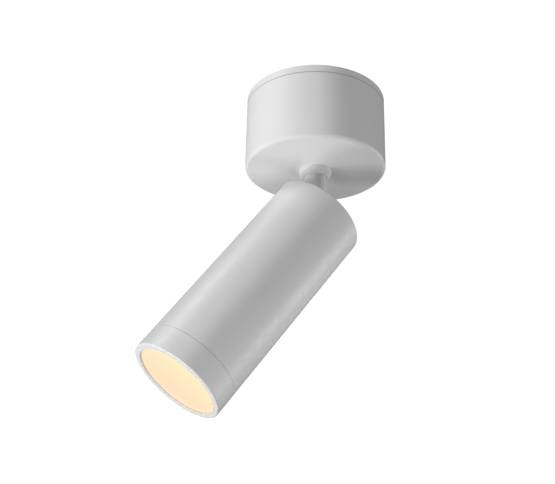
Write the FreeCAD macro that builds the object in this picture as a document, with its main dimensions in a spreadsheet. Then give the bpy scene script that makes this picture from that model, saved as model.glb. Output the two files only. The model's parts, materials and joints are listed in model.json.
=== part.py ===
"""Surface mounted ceiling spotlight with a swivelling stem and a tilting cylindrical head.

Frame: origin at the centre of the face that meets the ceiling, +Z up, so the lamp hangs below
z = 0. The stem and canopy are centred on Z. The head tilts about Y and leans towards -X at rest.

Canopy and stem pieces are drawn with their local z as the depth below the ceiling, and head
pieces with their local z as the distance from the head's rear plane towards the lens.
"""
import FreeCAD, Part
import math
import os
import re

import Sketcher

DIMENSIONS = [
    # canopy and ceiling plate
    ("canopy_radius", 45.0, "outer radius of the ceiling plate and the canopy"),
    ("canopy_depth", 51.0, "ceiling to the underside of the canopy"),
    ("canopy_wall", 2.0, "side wall of the canopy shell"),
    ("canopy_floor", 3.0, "underside thickness of the canopy shell"),
    ("canopy_edge", 2.4, "rounding of the canopy's lower edge"),
    ("plate_rim", 5.0, "height of the plate's visible rim"),
    ("plate_web", 2.5, "thickness of the plate inside its rim"),
    ("plate_edge", 0.5, "rounding of the plate's ceiling edge"),
    ("seam_gap", 0.2, "shadow gap between plate rim and canopy shell"),
    ("spigot_wall", 2.0, "wall of the plate's spigot"),
    ("spigot_play", 0.25, "radial play between spigot and canopy shell"),
    ("spigot_depth", 12.5, "ceiling to the end of the spigot"),
    ("bayonet_depth", 7.0, "ceiling to the top of the bayonet run"),
    ("bayonet_play", 0.1, "play of a lug in its run"),
    ("bayonet_count", 3, "bayonet lugs round the shell"),
    ("lug_height", 2.2, "height of a bayonet lug"),
    ("lug_reach", 1.7, "how far a lug stands in from the shell's wall"),
    ("lug_angle", 8.0, "arc of a lug in degrees"),
    ("lug_rest", 1.0, "lug short of the end of its run in degrees"),
    ("run_angle", 26.0, "arc of a bayonet run in degrees"),
    ("entry_angle", 11.0, "arc of a bayonet entry in degrees"),
    ("slot_spacing", 60.0, "distance between the two ceiling screw slots"),
    ("slot_length", 12.0, "end to end length of a ceiling screw slot"),
    ("slot_radius", 2.25, "half width of a ceiling screw slot"),
    ("overlap", 1.0, "how far a form runs into the next one, or a cut past the metal"),
    # cable entry, terminals and driver, all under the plate
    ("side_room", 8.25, "grommet, and driver on the other side, to the spigot"),
    ("entry_radius", 6.5, "hole in the plate for the grommet"),
    ("grommet_bore", 4.0, "radius of the cable's way through the grommet"),
    ("grommet_flange", 8.5, "radius of the grommet's flanges"),
    ("grommet_lip", 1.0, "thickness of the grommet's flanges"),
    ("fit_play", 0.1, "radial play of pieces that are simply put in"),
    ("driver_share", 0.6, "driver case along Y as a share of the spigot's bore radius"),
    ("driver_clear", 1.5, "driver's corners and ears to the spigot"),
    ("driver_height", 20.0, "driver case below the plate"),
    ("driver_wall", 1.5, "wall of the driver case"),
    ("driver_corner", 3.0, "rounding of the driver case's upright edges"),
    ("ear_width", 8.0, "width of the fixing ear at each end of the driver case"),
    ("ear_thickness", 2.5, "thickness of a fixing ear"),
    ("output_inset", 3.0, "output wires from the driver's side towards the lamp's axis"),
    ("board_thickness", 1.6, "printed circuit boards"),
    ("board_gap", 0.5, "driver board to the inside of its case"),
    ("part_height", 9.0, "tallest component on the driver board"),
    ("terminal_length", 28.0, "three pole terminal block along X"),
    ("terminal_width", 12.0, "terminal block along Y"),
    ("terminal_height", 13.0, "terminal block below the plate"),
    ("terminal_gap", 1.5, "grommet to the terminal block"),
    ("terminal_pitch", 9.0, "distance between poles"),
    ("terminal_hole", 1.9, "radius of a wire hole in the terminal block"),
    ("earth_clear", 6.5, "earth washer to the spigot"),
    ("earth_angle", 37.0, "earth screw from the line of the ceiling screws in degrees"),
    ("washer_reach", 1.5, "earth washer past its screw's head"),
    ("washer_thickness", 0.8, "thickness of the earth washer"),
    ("small_screw", 1.5, "shank radius of the small screws"),
    ("small_head", 2.75, "head radius of the small screws"),
    ("small_head_height", 2.0, "head height of the small screws"),
    ("socket_radius", 1.15, "driving recess of the small screws and the pivot pin"),
    ("socket_depth", 1.2, "depth of that recess"),
    ("plate_skin", 0.4, "metal left between a screw's end and the ceiling"),
    # swivel in the canopy's floor
    ("stem_radius", 6.75, "outer radius of the stem"),
    ("stem_bore", 5.0, "radius of the wire way in the stem"),
    ("swivel_play", 0.05, "running play between stem and bush"),
    ("bush_radius", 10.0, "radius of the bush's visible collar"),
    ("bush_rim", 3.0, "height of the collar's rim"),
    ("bush_nose", 4.6, "underside of the canopy to the end of the collar"),
    ("bush_land", 1.0, "flat ring round the stem at the collar's end"),
    ("bush_neck", 8.6, "radius of the bush's threaded neck"),
    ("bush_height", 9.0, "length of the neck above the collar"),
    ("bush_nut_flats", 24.0, "width across flats of the bush nut"),
    ("bush_nut_height", 4.0, "height of the bush nut"),
    ("spring_radius", 9.6, "outer radius of the split spring washer"),
    ("spring_height", 0.8, "height of the spring washer as it is clamped"),
    ("spring_gap", 1.7, "opening in the spring washer"),
    ("stop_washer_radius", 10.5, "outer radius of the stop washer"),
    ("stop_washer_height", 1.2, "thickness of the stop washer"),
    ("stop_tab_reach", 17.0, "axis to the tip of the stop washer's tab"),
    ("stop_tab_width", 2.6, "width of the tab"),
    ("stop_pin_radius", 1.2, "radius of the stop pin in the canopy's floor"),
    ("stop_pin_orbit", 15.6, "stop pin from the lamp's axis"),
    ("stop_pin_seat", 1.5, "depth of the stop pin in the floor"),
    ("stop_pin_extra", 1.0, "stop pin past the stop washer"),
    ("thread_radius", 6.0, "threaded top of the stem"),
    ("stem_nut_flats", 18.0, "width across flats of the stem nut"),
    ("stem_nut_height", 5.0, "height of the stem nut"),
    ("stem_stub", 1.0, "stem past its nut"),
    # tilting joint
    ("pivot_depth", 85.9, "ceiling to the tilt axis"),
    ("pivot_inset", 3.0, "tilt axis inside the head's rear plane"),
    ("rest_tilt", 36.0, "head's lean from straight down in degrees"),
    ("knuckle_shoulder", 8.0, "tilt axis to the shoulder above the knuckle"),
    ("tilt_play", 0.05, "play of the pin and beside the friction washers"),
    ("slot_play", 0.3, "stem to the sides of the rear cap's slot"),
    ("friction_thickness", 1.5, "thickness of a friction washer"),
    ("friction_radius", 6.2, "radius of a friction washer"),
    ("pin_radius", 2.0, "radius of the pivot pin"),
    ("pin_head_radius", 3.8, "radius of the pivot pin's head"),
    ("pin_head_height", 2.5, "height of the pivot pin's head"),
    ("pin_spring", 0.8, "thickness of the spring washer under the nut"),
    ("pin_nut_flats", 7.0, "width across flats of the pivot nut"),
    ("pin_nut_height", 3.5, "height of the pivot nut"),
    ("barrel_radius", 4.0, "radius of the rear cap's pivot barrels"),
    ("barrel_length", 8.0, "length of each pivot barrel"),
    ("barrel_pocket", 5.6, "length of the pocket past each barrel"),
    ("tool_room", 1.0, "room round the pivot pin's head and nut"),
    ("lead_radius", 0.8, "insulated wires inside the lamp"),
    ("lead_play", 0.3, "wires to the holes that they run through"),
    ("lead_offset", 3.85, "wires from the axis inside the stem"),
    ("lead_join", 1.5, "wires' joint inside the top of the stem"),
    # head
    ("head_radius", 29.5, "outer radius of the head"),
    ("head_length", 143.0, "rear plane to the front rim"),
    ("head_wall", 1.5, "wall of the head tube"),
    ("rear_edge", 0.6, "rounding of the tube's rear edge"),
    ("cap_recess", 1.5, "rear plane to the rear cap's face"),
    ("cap_floor", 3.0, "rear cap under its slot"),
    ("knuckle_play", 0.75, "knuckle's end to the floor of the slot"),
    ("cap_screw_margin", 6.9, "rear cap's screws from its edge"),
    ("cap_screw_count", 4, "screws through the rear cap"),
    ("cap_screw_depth", 7.5, "counterbore of the rear cap's screws"),
    ("cap_screw_grip", 8.0, "length of these screws inside the heat sink"),
    ("web_thickness", 2.0, "ring inside the tube between cap and heat sink"),
    ("web_margin", 4.0, "rear cap's screws from the opening in that ring"),
    ("fin_length", 62.0, "length of the heat sink's fins"),
    ("fin_count", 14, "fins round the heat sink"),
    ("fin_thickness", 1.6, "thickness of a fin"),
    ("fin_gap", 0.4, "fin tips to the heat sink's full radius"),
    ("sink_core", 9.0, "radius of the heat sink's core"),
    ("sink_base", 5.0, "thickness of the heat sink's front disc"),
    ("boss_radius", 3.0, "radius of the heat sink's screw bosses"),
    ("lead_orbit", 13.0, "wires from the axis beside the heat sink's core"),
    ("lead_bend", 2.0, "bend radius of the wires"),
    ("pad_thickness", 0.5, "thermal pad"),
    ("led_clear", 6.0, "LED board and its holder to the tube's wall"),
    ("chip_radius", 9.5, "radius of the light emitting chip"),
    ("chip_height", 1.0, "height of the chip"),
    ("holder_bore", 10.5, "radius of the opening in the LED holder"),
    ("holder_height", 4.0, "thickness of the LED holder"),
    ("holder_margin", 4.5, "LED holder's screws from its edge"),
    ("reflector_wall", 0.8, "wall of the reflector"),
    ("reflector_step", 1.6, "reflector's cone inside the edge of its flange"),
    ("reflector_flange", 1.0, "thickness of the reflector's flange"),
    ("front_length", 15.0, "visible length of the front ring"),
    ("front_lip", 1.3, "front rim to the diffuser"),
    ("front_edge", 0.9, "rounding of the front rim"),
    ("lip_edge", 0.3, "rounding of the front rim's inner edge"),
    ("rim_width", 3.8, "front rim round the diffuser"),
    ("lens_overlap", 0.9, "diffuser behind the front lip"),
    ("lens_thickness", 2.0, "thickness of the diffuser"),
    ("gasket_thickness", 1.0, "silicone ring behind the diffuser"),
    ("gasket_width", 1.4, "radial width of that ring"),
    ("front_spigot", 8.0, "threaded length of the front ring in the tube"),
]

doc = FreeCAD.newDocument("ceiling_spotlight")
sheet = doc.addObject("Spreadsheet::Sheet", "Dimensions")
for row, (alias, number, meaning) in enumerate(DIMENSIONS, start=1):
    sheet.set(f"A{row}", meaning)
    sheet.set(f"B{row}", str(number))
    sheet.setAlias(f"B{row}", alias)
doc.recompute()
ALIASES = re.compile(r"\b(" + "|".join(alias for alias, _, _ in DIMENSIONS) + r")\b")

# ---- places worked out from the driving dimensions ---------------------------------------------
SHELL_BORE = "(canopy_radius - canopy_wall)"
SPIGOT_RADIUS = f"({SHELL_BORE} - spigot_play)"
SPIGOT_BORE = f"({SPIGOT_RADIUS} - spigot_wall)"
SHELL_TOP = "(plate_rim + seam_gap)"
FLOOR = "(canopy_depth - canopy_floor)"
LUG_TOP = "(bayonet_depth + bayonet_play)"
LUG_TURN = "(run_angle / 2 - lug_angle / 2 - lug_rest)"
ENTRY_TURN = "(run_angle / 2 - entry_angle / 2)"
ENTRY_Y = f"(-({SPIGOT_BORE} - side_room - grommet_flange))"
FLANGE_SEAT = "(grommet_flange + fit_play)"
TERMINAL_Y = f"({ENTRY_Y} + grommet_flange + terminal_gap + terminal_width / 2)"
TERMINAL_END = "(plate_web + terminal_height)"
TERMINAL_AXIS = "(plate_web + terminal_height / 2)"
POLES = [("left", "-terminal_pitch"), ("middle", "0"), ("right", "terminal_pitch")]
EARTH_RADIUS = "(small_head + washer_reach)"
EARTH_ORBIT = f"({SPIGOT_BORE} - earth_clear - {EARTH_RADIUS})"
EARTH_X = f"(-{EARTH_ORBIT} * cos(earth_angle))"
EARTH_Y = f"(-{EARTH_ORBIT} * sin(earth_angle))"
DRIVER_FAR = f"({SPIGOT_BORE} - side_room)"
DRIVER_NEAR = f"({DRIVER_FAR} - driver_share * {SPIGOT_BORE})"
DRIVER_Y = f"(({DRIVER_NEAR} + {DRIVER_FAR}) / 2)"
CORNER_REACH = f"({SPIGOT_BORE} - driver_clear - driver_corner)"
DRIVER_X = f"(sqrt({CORNER_REACH} ^ 2 - ({DRIVER_FAR} - driver_corner) ^ 2) + driver_corner)"
EAR_END = f"sqrt(({SPIGOT_BORE} - driver_clear) ^ 2 - ({DRIVER_Y} + ear_width / 2) ^ 2)"
EAR_SCREW_X = f"({DRIVER_X} + small_head + fit_play)"
DRIVER_END = "(plate_web + driver_height)"
CAVITY_TOP = "(plate_web + driver_wall)"
LID_START = f"({DRIVER_END} - driver_wall)"
OUTPUT_Y = f"({DRIVER_NEAR} + output_inset)"
BUSH_TOP = "(canopy_depth - bush_height)"
BUSH_BORE = "(stem_radius + swivel_play)"
NECK_HOLE = "(bush_neck + fit_play)"
SHOULDER = f"({BUSH_TOP} - spring_height)"
STOP_TOP = f"({SHOULDER} - stop_washer_height)"
STEM_NUT_TOP = f"({STOP_TOP} - stem_nut_height)"
STEM_TOP = f"({STEM_NUT_TOP} - stem_stub)"
STEM_END = "(pivot_depth + stem_radius)"
PAST_STEM = "(stem_radius + overlap)"
PAST_STEM_END = f"({STEM_END} + overlap)"
THROUGH_STEM = f"(2 * {PAST_STEM})"
PIN_HOLE = "(pin_radius + tilt_play)"
SLOT_HALF = "(stem_radius + slot_play)"
KNUCKLE_HALF = f"({SLOT_HALF} - friction_thickness - tilt_play)"
BARREL_END = f"({SLOT_HALF} + barrel_length)"
TUBE_BORE = "(head_radius - head_wall)"
SLIDE_RADIUS = f"({TUBE_BORE} - fit_play)"
CAP_SCREW_ORBIT = f"({SLIDE_RADIUS} - cap_screw_margin)"
CAP_SCREW_SPOT = f"({CAP_SCREW_ORBIT} * cos(45))"
CAP_SCREW_SEAT = "(cap_recess + cap_screw_depth)"
WEB_RADIUS = f"({CAP_SCREW_ORBIT} - web_margin)"
LED_RADIUS = f"({TUBE_BORE} - led_clear)"
HOLDER_SCREW_Y = f"({LED_RADIUS} - holder_margin)"
SLOT_FLOOR = "(pivot_inset + stem_radius + knuckle_play)"
CAP_END = f"({SLOT_FLOOR} + cap_floor)"
SINK_START = f"({CAP_END} + web_thickness)"
FIN_END = f"({SINK_START} + fin_length)"
SINK_END = f"({FIN_END} + sink_base)"
PAD_END = f"({SINK_END} + pad_thickness)"
LED_END = f"({PAD_END} + board_thickness)"
HOLDER_END = f"({LED_END} + holder_height)"
RING_START = "(head_length - front_length)"
LENS_FRONT = "(head_length - front_lip)"
LENS_BACK = f"({LENS_FRONT} - lens_thickness)"
GASKET_BACK = f"({LENS_BACK} - gasket_thickness)"
FLANGE_BACK = f"({GASKET_BACK} - reflector_flange)"
LENS_RADIUS = "(head_radius - rim_width)"
LENS_EDGE = f"({LENS_RADIUS} + lens_overlap)"
RING_BORE = f"({LENS_EDGE} + fit_play)"
LEAD_HOLE = "(lead_radius + lead_play)"
LEAD_JOINT = f"({STEM_TOP} + lead_join)"
LEAD_PITCH = "(lead_radius + fit_play)"
WAY_RADIUS = f"(2 * {LEAD_HOLE})"


# ---- helpers -----------------------------------------------------------------------------------
def bound(formula):
    """Formula in the names of the sheet's cells, as the document writes it."""
    return ALIASES.sub(r"Dimensions.\1", formula)


def value(formula):
    return float(sheet.evalExpression(bound(formula)))


def bind(item, path, formula):
    item.setExpression(path, bound(formula))


def hang(item):
    """Canopy and stem pieces: local z is the depth below the ceiling."""
    item.Placement = FreeCAD.Placement(FreeCAD.Vector(), FreeCAD.Rotation(FreeCAD.Vector(1, 0, 0), 180))


def lean(item):
    """Head pieces: local z runs from the rear plane to the lens, at the rest tilt."""
    turn = FreeCAD.Rotation(FreeCAD.Vector(0, 1, 0), value("180 + rest_tilt"))
    item.Placement = FreeCAD.Placement(FreeCAD.Vector(), turn)
    bind(item, "Placement.Base.x", "pivot_inset * sin(rest_tilt)")
    bind(item, "Placement.Base.z", "pivot_inset * cos(rest_tilt) - pivot_depth")
    bind(item, "Placement.Rotation.Angle", "180 + rest_tilt")


def across(item):
    """Pieces on the tilt axis: local z runs along it, from the middle of the joint."""
    item.Placement = FreeCAD.Placement(FreeCAD.Vector(), FreeCAD.Rotation(FreeCAD.Vector(1, 0, 0), -90))
    bind(item, "Placement.Base.z", "-pivot_depth")


sub_parts = []


def new_body(name, place):
    body = doc.addObject("PartDesign::Body", name)
    place(body)
    sub_parts.append(body)
    return body


def origin_item(body, role):
    return next(item for item in body.Origin.OriginFeatures if item.Role == role)


def new_sketch(body, name, role="XY_Plane", level=None, turn=None):
    """Sketch on one of the body's own planes, moved to a level or turned about its z axis."""
    sketch = body.newObject("Sketcher::SketchObject", f"{body.Name}_{name}_sketch")
    sketch.AttachmentSupport = [(origin_item(body, role), "")]
    sketch.MapMode = "FlatFace"
    if level:
        bind(sketch, "AttachmentOffset.Base.z", level)
    if turn:
        about_z = FreeCAD.Rotation(FreeCAD.Vector(0, 1, 0), value(turn))
        sketch.AttachmentOffset = FreeCAD.Placement(FreeCAD.Vector(), about_z)
        bind(sketch, "AttachmentOffset.Rotation.Angle", turn)
    return sketch


def fix(sketch, kind, line, end, formula):
    index = sketch.addConstraint(Sketcher.Constraint(kind, -1, 1, line, end, value(formula)))
    bind(sketch, f"Constraints[{index}]", formula)


def outline(sketch, corners):
    """Closed straight-sided outline through corners that are given as formulas."""
    points = [FreeCAD.Vector(value(x), value(y), 0) for x, y in corners]
    first = sketch.GeometryCount
    count = len(points)
    for index, point in enumerate(points):
        sketch.addGeometry(Part.LineSegment(point, points[(index + 1) % count]), False)
    for index, (x, y) in enumerate(corners):
        following = first + (index + 1) % count
        sketch.addConstraint(Sketcher.Constraint("Coincident", first + index, 2, following, 1))
        fix(sketch, "DistanceX", first + index, 1, x)
        fix(sketch, "DistanceY", first + index, 1, y)


def circle(sketch, x, y, radius):
    centre = FreeCAD.Vector(value(x), value(y), 0)
    shape = Part.Circle(centre, FreeCAD.Vector(0, 0, 1), value(radius))
    index = sketch.addGeometry(shape, False)
    fix(sketch, "DistanceX", index, 3, x)
    fix(sketch, "DistanceY", index, 3, y)
    size = sketch.addConstraint(Sketcher.Constraint("Radius", index, value(radius)))
    bind(sketch, f"Constraints[{size}]", radius)


def box_corners(x_low, x_high, y_low, y_high):
    return [(x_low, y_low), (x_high, y_low), (x_high, y_high), (x_low, y_high)]


def feature(body, kind, name, sketch):
    item = body.newObject(f"PartDesign::{kind}", f"{body.Name}_{name}")
    item.Profile = sketch
    sketch.Visibility = False
    return item


def grown(body, kind, item, before):
    """Recompute, and make sure that the feature added or took away material."""
    doc.recompute()
    change = item.Shape.Volume - before
    expected = -1 if kind in ("Pocket", "Groove") else 1
    if change * expected <= 1e-6:
        raise RuntimeError(f"{item.Name} changes nothing on {body.Name}")
    return item


def volume_of(body):
    return body.Tip.Shape.Volume if body.Tip else 0.0


def revolve(body, name, corners, kind="Revolution", arc=None, turn=None):
    """Profile of (radius, z) corners turned about the body's z axis, wholly or over an arc."""
    before = volume_of(body)
    sketch = new_sketch(body, name, "XZ_Plane", turn=turn)
    outline(sketch, corners)
    item = feature(body, kind, name, sketch)
    item.ReferenceAxis = (sketch, ["V_Axis"])
    item.Angle = 360
    if arc:
        item.Midplane = True
        bind(item, "Angle", arc)
    return grown(body, kind, item, before)


def extrude(body, name, draw, start, end, kind="Pad"):
    """What draw puts on a sketch at z = start, added or cut away up to z = end."""
    before = volume_of(body)
    sketch = new_sketch(body, name, level=start)
    draw(sketch)
    item = feature(body, kind, name, sketch)
    item.Reversed = kind == "Pocket"
    bind(item, "Length", f"{end} - {start}")
    return grown(body, kind, item, before)


def extrude_across(body, name, draw, width, role="XZ_Plane", kind="Pad"):
    """What draw puts on an upright plane, added or cut away evenly to both sides."""
    before = volume_of(body)
    sketch = new_sketch(body, name, role)
    draw(sketch)
    item = feature(body, kind, name, sketch)
    item.Midplane = True
    bind(item, "Length", width)
    return grown(body, kind, item, before)


def repeat(body, name, items, count):
    """Copies of features about the body's z axis."""
    pattern = body.newObject("PartDesign::PolarPattern", f"{body.Name}_{name}")
    pattern.Originals = items
    pattern.Axis = (origin_item(body, "Z_Axis"), [""])
    pattern.Angle = 360
    bind(pattern, "Occurrences", count)
    body.Tip = pattern
    doc.recompute()
    return pattern


def round_rim(body, name, radius, level, size):
    """Fillet on the circular edge of that radius at that z."""
    wanted = [
        f"Edge{index}"
        for index, edge in enumerate(body.Tip.Shape.Edges, start=1)
        if isinstance(edge.Curve, Part.Circle)
        and abs(edge.Curve.Radius - value(radius)) < 1e-4
        and abs(edge.Curve.Center.z - value(level)) < 1e-4
        and math.hypot(edge.Curve.Center.x, edge.Curve.Center.y) < 1e-4
    ]
    return round_edges(body, name, wanted, size)


def round_uprights(body, name, size):
    """Fillet on every straight edge that runs along z."""
    wanted = [
        f"Edge{index}"
        for index, edge in enumerate(body.Tip.Shape.Edges, start=1)
        if isinstance(edge.Curve, Part.Line) and abs(abs(edge.Curve.Direction.z) - 1) < 1e-6
    ]
    return round_edges(body, name, wanted, size)


def round_edges(body, name, edges, size):
    if not edges:
        raise RuntimeError(f"no edge for {name} on {body.Name}")
    tip = body.Tip
    fillet = body.newObject("PartDesign::Fillet", f"{body.Name}_{name}")
    fillet.Base = (tip, edges)
    bind(fillet, "Radius", size)
    doc.recompute()
    return fillet


def hexagon(sketch, flats):
    corner = f"{flats} / 2 / cos(30)"
    outline(sketch, [(f"{corner} * cos({60 * k})", f"{corner} * sin({60 * k})") for k in range(6)])


def ring(name, place, inner, outer, start, end):
    """Washer, disc or sleeve: a rectangle turned about z."""
    body = new_body(name, place)
    revolve(body, "ring", box_corners(inner, outer, start, end))
    return body


def hex_nut(name, place, flats, bore, start, end):
    """Hexagon nut with chamfered corners at both faces."""
    body = new_body(name, place)

    def draw(sketch):
        hexagon(sketch, flats)
        circle(sketch, "0", "0", bore)

    extrude(body, "hexagon", draw, start, end)
    face, beyond = f"{flats} / 2", flats
    slope = f"({beyond} - {face}) * tan(30)"
    revolve(body, "near", [(face, start), (beyond, start), (beyond, f"{start} + {slope}")], "Groove")
    revolve(body, "far", [(face, end), (beyond, end), (beyond, f"{end} - {slope}")], "Groove")
    return body


def cylinder(name, radius, start, end, x="0", y="0"):
    """Upright cylinder between two levels."""
    item = doc.addObject("Part::Cylinder", name)
    bind(item, "Radius", radius)
    bind(item, "Height", f"{end} - {start}")
    bind(item, "Placement.Base.x", x)
    bind(item, "Placement.Base.y", y)
    bind(item, "Placement.Base.z", start)
    return item


def block(name, x_low, x_high, y_low, y_high, start, end):
    item = doc.addObject("Part::Box", name)
    bind(item, "Length", f"{x_high} - {x_low}")
    bind(item, "Width", f"{y_high} - {y_low}")
    bind(item, "Height", f"{end} - {start}")
    bind(item, "Placement.Base.x", x_low)
    bind(item, "Placement.Base.y", y_low)
    bind(item, "Placement.Base.z", start)
    return item


def fused(name, items):
    item = doc.addObject("Part::MultiFuse", name)
    item.Shapes = items
    return item


def cut(name, base, tool):
    item = doc.addObject("Part::Cut", name)
    item.Base = base
    item.Tool = tool
    return item


def group(name, place, items):
    """Separate solids that share one node."""
    item = doc.addObject("Part::Compound", name)
    item.Links = items
    place(item)
    sub_parts.append(item)
    return item


def screw(name, x, y, seat, tip, upward):
    """Pan head screw: shank from its seat to its tip, along +z or, where upward, along -z."""
    if upward:
        shank = cylinder(f"{name}_shank", "small_screw", tip, seat, x, y)
        head = cylinder(f"{name}_head", "small_head", seat, f"({seat} + small_head_height)", x, y)
        socket_start = f"{seat} + small_head_height - socket_depth"
    else:
        shank = cylinder(f"{name}_shank", "small_screw", seat, tip, x, y)
        head = cylinder(f"{name}_head", "small_head", f"({seat} - small_head_height)", seat, x, y)
        socket_start = f"{seat} - small_head_height"
    socket = doc.addObject("Part::Prism", f"{name}_socket")
    socket.Polygon = 6
    bind(socket, "Circumradius", "socket_radius")
    bind(socket, "Height", "socket_depth")
    bind(socket, "Placement.Base.x", x)
    bind(socket, "Placement.Base.y", y)
    bind(socket, "Placement.Base.z", socket_start)
    return cut(name, fused(f"{name}_blank", [shank, head]), socket)


def wire_along(points, bend, radius):
    """Round wire through points: straight runs joined by tangent arcs of one bend radius."""
    edges = []
    start = points[0]
    for before, corner, after in zip(points, points[1:], points[2:]):
        incoming = (corner - before).normalize()
        outgoing = (after - corner).normalize()
        turn = incoming.getAngle(outgoing)
        reach = bend * math.tan(turn / 2)
        arc_start = corner - incoming * reach
        arc_end = corner + outgoing * reach
        inward = (outgoing - incoming).normalize()
        middle = corner + inward * (bend / math.cos(turn / 2) - bend)
        edges.append(Part.LineSegment(start, arc_start).toShape())
        edges.append(Part.Arc(arc_start, middle, arc_end).toShape())
        start = arc_end
    edges.append(Part.LineSegment(start, points[-1]).toShape())
    path = Part.Wire(edges)
    section = Part.Wire(Part.makeCircle(radius, points[0], points[1] - points[0]))
    return path.makePipeShell([section], True, False)


def lead_pair(name, place, routes):
    """Two insulated wires, each along its own route of (x, y, z) formulas."""
    item = doc.addObject("Part::Feature", name)
    bend = value("lead_bend")
    wires = []
    for route in routes:
        points = [FreeCAD.Vector(value(x), value(y), value(z)) for x, y, z in route]
        wires.append(wire_along(points, bend, value("lead_radius")))
    item.Shape = Part.makeCompound(wires)
    place(item)
    sub_parts.append(item)
    return item


# ---- ceiling plate and canopy ------------------------------------------------------------------
def make_mounting_plate():
    """Cast plate: web against the ceiling, visible rim, and the spigot that the shell locks to."""
    body = new_body("mounting_plate", hang)
    revolve(body, "profile", [
        ("0", "0"), ("canopy_radius", "0"), ("canopy_radius", "plate_rim"),
        (SPIGOT_RADIUS, "plate_rim"), (SPIGOT_RADIUS, "spigot_depth"),
        (SPIGOT_BORE, "spigot_depth"), (SPIGOT_BORE, "plate_web"), ("0", "plate_web")])
    round_rim(body, "ceiling_edge", "canopy_radius", "0", "plate_edge")
    inside = f"({SPIGOT_BORE} - overlap)"
    run_end = "(bayonet_depth + lug_height + 2 * bayonet_play)"
    run = revolve(
        body, "bayonet_run", box_corners(inside, "canopy_radius", "bayonet_depth", run_end),
        "Groove", arc="run_angle")
    entry = revolve(
        body, "bayonet_entry",
        box_corners(inside, "canopy_radius", "bayonet_depth", "(spigot_depth + overlap)"),
        "Groove", arc="entry_angle", turn=ENTRY_TURN)
    repeat(body, "bayonet_runs", [run, entry], "bayonet_count")

    def screw_slots(sketch):
        for side in ("-", ""):
            screw_slot(sketch, f"{side}slot_spacing / 2")

    extrude(body, "screw_slots", screw_slots, "0", "plate_web", "Pocket")
    extrude(body, "cable_entry", lambda sketch: circle(sketch, "0", ENTRY_Y, "entry_radius"),
            "0", "plate_web", "Pocket")
    extrude(body, "grommet_seat", lambda sketch: circle(sketch, "0", ENTRY_Y, FLANGE_SEAT),
            "0", "grommet_lip", "Pocket")

    def tapped_holes(sketch):
        circle(sketch, f"-{EAR_SCREW_X}", DRIVER_Y, "small_screw")
        circle(sketch, EAR_SCREW_X, DRIVER_Y, "small_screw")
        circle(sketch, EARTH_X, EARTH_Y, "small_screw")

    extrude(body, "tapped_holes", tapped_holes, "plate_skin", "plate_web", "Pocket")


def screw_slot(sketch, x):
    """Ceiling screw slot along X: two straight sides and two round ends, centred on x."""
    reach = "(slot_length / 2 - slot_radius)"
    left, right = f"({x} - {reach})", f"({x} + {reach})"
    radius = value("slot_radius")
    first = sketch.GeometryCount
    for end, angle in ((left, 90), (right, -90)):
        centre = FreeCAD.Vector(value(end), 0, 0)
        round_end = Part.Circle(centre, FreeCAD.Vector(0, 0, 1), radius)
        limits = (math.radians(angle), math.radians(angle + 180))
        sketch.addGeometry(Part.ArcOfCircle(round_end, *limits), False)
    upper = (FreeCAD.Vector(value(left), radius, 0), FreeCAD.Vector(value(right), radius, 0))
    lower = (FreeCAD.Vector(value(left), -radius, 0), FreeCAD.Vector(value(right), -radius, 0))
    sketch.addGeometry(Part.LineSegment(*upper), False)
    sketch.addGeometry(Part.LineSegment(*lower), False)
    left_arc, right_arc, top, bottom = range(first, first + 4)
    for arc, arc_end, side, side_end in (
            (left_arc, 1, top, 1), (left_arc, 2, bottom, 1),
            (right_arc, 2, top, 2), (right_arc, 1, bottom, 2)):
        sketch.addConstraint(Sketcher.Constraint("Tangent", arc, arc_end, side, side_end))
    for arc, end in ((left_arc, left), (right_arc, right)):
        fix(sketch, "DistanceX", arc, 3, end)
        fix(sketch, "DistanceY", arc, 3, "0")
    size = sketch.addConstraint(Sketcher.Constraint("Radius", left_arc, radius))
    bind(sketch, f"Constraints[{size}]", "slot_radius")


def make_cable_grommet():
    """Rubber grommet, flush with the ceiling face, round the cable's way in."""
    body = new_body("cable_grommet", hang)
    neck_end = "(plate_web + grommet_lip)"

    def draw(radius):
        def on(sketch):
            circle(sketch, "0", ENTRY_Y, radius)
            circle(sketch, "0", ENTRY_Y, "grommet_bore")
        return on

    extrude(body, "upper_flange", draw("grommet_flange"), "0", "grommet_lip")
    extrude(body, "neck", draw("(entry_radius - fit_play)"), "0", neck_end)
    extrude(body, "lower_flange", draw("grommet_flange"), "plate_web", neck_end)


def make_canopy_shell():
    """Drawn cup that hides driver and terminals, with bayonet lugs and the bush's hole."""
    body = new_body("canopy_shell", hang)
    revolve(body, "profile", [
        (SHELL_BORE, SHELL_TOP), ("canopy_radius", SHELL_TOP), ("canopy_radius", "canopy_depth"),
        (NECK_HOLE, "canopy_depth"), (NECK_HOLE, FLOOR), (SHELL_BORE, FLOOR)])
    round_rim(body, "lower_edge", "canopy_radius", "canopy_depth", "canopy_edge")
    round_rim(body, "inner_corner", SHELL_BORE, FLOOR, "canopy_edge - canopy_wall / 2")
    lug = revolve(
        body, "lug",
        box_corners(f"({SHELL_BORE} - lug_reach)", f"({SHELL_BORE} + canopy_wall / 2)",
                    LUG_TOP, f"({LUG_TOP} + lug_height)"),
        arc="lug_angle", turn=f"-{LUG_TURN}")
    repeat(body, "lugs", [lug], "bayonet_count")
    extrude(body, "pin_seat", lambda sketch: circle(sketch, "0", "stop_pin_orbit", "stop_pin_radius"),
            FLOOR, f"({FLOOR} + stop_pin_seat)", "Pocket")


# ---- driver and terminals under the plate ------------------------------------------------------

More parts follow.
